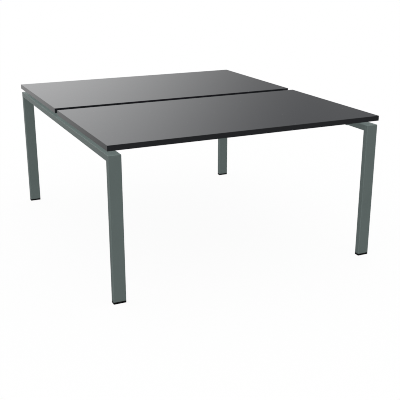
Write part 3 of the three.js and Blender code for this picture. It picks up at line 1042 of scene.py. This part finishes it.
def make_edge_bands(end):
    """The four edge bands of a top.
    Those along its front and rear run past the others, so their ends are free."""
    for side, quarter_turns in BAND_TURNS.items():
        node = f"top_{end}_band_{side}"
        _, middle, size = box_of(node)
        turn = quarter_turns * np.pi / 2
        out = np.array([round(math.cos(turn)), round(math.sin(turn)), 0])
        along = np.array([out[1], -out[0], 0])
        length = abs(size @ along)
        thickness = abs(size @ out)
        strip = edge_strip(length, size[2], thickness, free_ends=side in ENDS)
        strip = moved(turned_to(strip, along, out, (0, 0, 1)), middle - out * thickness / 2)
        make_piece(f"{node}_strip", [strip], "edge_band", [node])


def make_leg_insert(corner):
    """The insert in a leg: its body, less the way for the foot and the hollows beside its boss."""
    node = f"leg_insert_{corner}"
    low, middle, size = box_of(node)
    leg_low, _, _ = box_of(f"leg_{corner}")
    nut_low, _, nut_size = box_of(f"foot_nut_{corner}")
    base = (middle[0], middle[1], low[2])
    sole = leg_low[2] - low[2]
    nut_bottom = nut_low[2] - low[2]
    wall_inset = TUBE_WALL + PLUG_CLEARANCE + PLUG_RIB_DEPTH + PLUG_WALL
    pocket_width = size[0] - 2 * wall_inset
    pocket_depth = size[1] - 2 * wall_inset
    holes = [stud_way(size[1] / 2 - SOLE_RIM, nut_bottom, nut_bottom + nut_size[2], size[2])]
    holes += [plug_pocket(sign, pocket_width, pocket_depth, sole, size[2]) for sign in (-1, 1)]
    holes = [moved(hole, base) for hole in holes]
    body = moved(insert_body(*size, sole), base)
    make_piece(f"{node}_moulding", [body], "black_plastic", [node], holes=holes)


def make_foot(corner):
    """The pad and the threaded stud of a levelling foot, each on its own body."""
    pad = f"foot_pad_{corner}"
    low, middle, size = box_of(pad)
    moulding = moved(pad_moulding(size[1] / 2, size[2]), (middle[0], middle[1], low[2]))
    make_piece(f"{pad}_moulding", [moulding], "black_plastic", [pad], body=f"foot_{corner}")
    stud = f"foot_stud_{corner}"
    low, middle, size = box_of(stud)
    shell = threaded_stud(size[1] / 2, low[2], low[2] + size[2])
    shell = moved(shell, (middle[0], middle[1], 0))
    make_piece(
        f"{stud}_threaded",
        [shell],
        "zinc_steel",
        [stud],
        body=f"stud_{corner}",
        smooth_below=THREAD_SMOOTH_BELOW,
    )


def make_camera():
    """A camera without roll, at its place, bearing and tilt."""
    camera_data = bpy.data.cameras.new("camera")
    camera_data.lens = CAMERA_LENS
    camera_data.sensor_width = CAMERA_SENSOR
    camera = bpy.data.objects.new("camera", camera_data)
    camera.location = CAMERA_PLACE
    camera.rotation_euler = (math.pi / 2 + CAMERA_ELEVATION, 0, -CAMERA_AZIMUTH)
    bpy.context.scene.collection.objects.link(camera)
    bpy.context.scene.camera = camera


def ray_kinds(graph):
    """1 or 0 for whether a ray comes from the camera, from a glossy surface, or through glass."""
    kinds = ("Is Camera Ray", "Is Glossy Ray", "Is Transmission Ray")
    return [graph.node("ShaderNodeLightPath", output=kind) for kind in kinds]


def make_room():
    """A white room to the camera, and a plain ambient to surfaces.
    In gloss it darkens away from its bright wall with the bearing, and turns into an even ceiling with the
    height."""
    world = bpy.data.worlds.new("room")
    bpy.context.scene.world = world
    world.use_nodes = True
    world.node_tree.nodes.clear()
    world.cycles.sampling_method = "NONE"
    graph = Value(world.node_tree)
    direction = graph.node("ShaderNodeTexCoord", output="Generated")
    across, depth, height = (
        graph.node("ShaderNodeSeparateXYZ", sockets={"Vector": direction}, output=axis) for axis in "XYZ"
    )
    bearing = graph.math("ARCTAN2", across, depth)
    aside = graph.math("ABSOLUTE", bearing - BRIGHT_WALL_BEARING)
    wall = ROOM_BRIGHTEST - (ROOM_BRIGHTEST - ROOM_DARKEST) * smooth_step(graph, aside, *BRIGHT_WALL_FALL)
    graded = wall + (CEILING - wall) * smooth_step(graph, height, *CEILING_RISE)
    from_camera, from_gloss, through_glass = ray_kinds(graph)
    shown = from_camera + through_glass
    strength = shown + from_gloss * graded + (1 - shown - from_gloss) * AMBIENT
    background = graph.node("ShaderNodeBackground", sockets={"Color": WHITE, "Strength": strength})
    graph.node("ShaderNodeOutputWorld", sockets={"Surface": background})


def floor_finish():
    """White to the camera, with a share of plain diffuse that keeps the shadow, and clear from below.
    In gloss it is paler towards the bright wall."""
    finish, graph = start_finish("studio_floor")
    finish.cycles.emission_sampling = "NONE"
    from_camera, from_gloss, through_glass = ray_kinds(graph)
    grey = (FLOOR_COLOUR, FLOOR_COLOUR, FLOOR_COLOUR, 1)
    diffuse = graph.node("ShaderNodeBsdfDiffuse", sockets={"Color": grey})
    lit = (1 - FLOOR_SHARE) * FLOOR_COLOUR * AMBIENT
    glow = graph.node("ShaderNodeEmission", sockets={"Strength": (1 - lit) / FLOOR_SHARE})
    in_gloss = FLOOR_GLOSS_SHARE * smooth_step(graph, object_place(graph, "Y"), *FLOOR_GLOSS_RISE)
    share = FLOOR_SHARE * (from_camera + through_glass) + from_gloss * in_gloss
    pale = graph.node("ShaderNodeMixShader", sockets={0: share, 1: diffuse, 2: glow})
    clear = graph.node("ShaderNodeBsdfTransparent")
    below = graph.node("ShaderNodeNewGeometry", output="Backfacing")
    shown = graph.node("ShaderNodeMixShader", sockets={0: below, 1: pale, 2: clear})
    graph.node("ShaderNodeOutputMaterial", sockets={"Surface": shown})
    return finish


def make_floor():
    """A square of floor at the feet."""
    corners = np.array([[-1, -1, 0], [1, -1, 0], [1, 1, 0], [-1, 1, 0]]) * FLOOR_REACH
    mesh = bpy.data.meshes.new("studio_floor")
    mesh.from_pydata(corners.tolist(), [], [(0, 1, 2, 3)])
    mesh.materials.append(floor_finish())
    floor = bpy.data.objects.new("studio_floor", mesh)
    bpy.context.scene.collection.objects.link(floor)
    return floor


def make_lamp(name, source, power, unlit):
    """A broad even light from one direction, seen by no camera or gloss.
    It leaves the unlit collection to the room."""
    lamp_data = bpy.data.lights.new(name, "SUN")
    lamp_data.angle = LAMP_ANGLE
    lamp_data.energy = power
    lamp_data.use_shadow = False
    lamp = bpy.data.objects.new(name, lamp_data)
    lamp.rotation_euler = Vector(source).to_track_quat("Z", "Y").to_euler()
    lamp.visible_camera = False
    lamp.visible_glossy = False
    lamp.light_linking.receiver_collection = unlit
    bpy.context.scene.collection.objects.link(lamp)


def make_studio():
    """The room, the floor, and the lamps, which leave the floor out."""
    make_room()
    unlit = bpy.data.collections.new("unlit_by_lamps")
    unlit.objects.link(make_floor())
    unlit.collection_objects[0].light_linking.link_state = "EXCLUDE"
    for name, (source, power) in LAMPS.items():
        make_lamp(name, source, power, unlit)
    bpy.context.scene.view_settings.view_transform = "Standard"
    bpy.context.scene.cycles.filter_width = PIXEL_FILTER


# The finish of each material slot
finishes = {
    "desk_laminate": desk_laminate(),
    "edge_band": edge_plastic(),
    "frame_paint": frame_paint(),
    "black_plastic": black_plastic(),
    "zinc_steel": zinc_steel(),
}

dress([f"top_{end}" for end in ENDS], "desk_laminate")
dress([f"foot_nut_{corner}" for corner in CORNERS], "zinc_steel")

for side, inward in zip(SIDES, (1, -1)):
    make_end_frame(side, inward)
for place in BEAM_PLACES:
    make_cross_beam(place)
for end in ENDS:
    make_edge_bands(end)
for corner in CORNERS:
    make_leg_insert(corner)
    make_foot(corner)

make_camera()
make_studio()
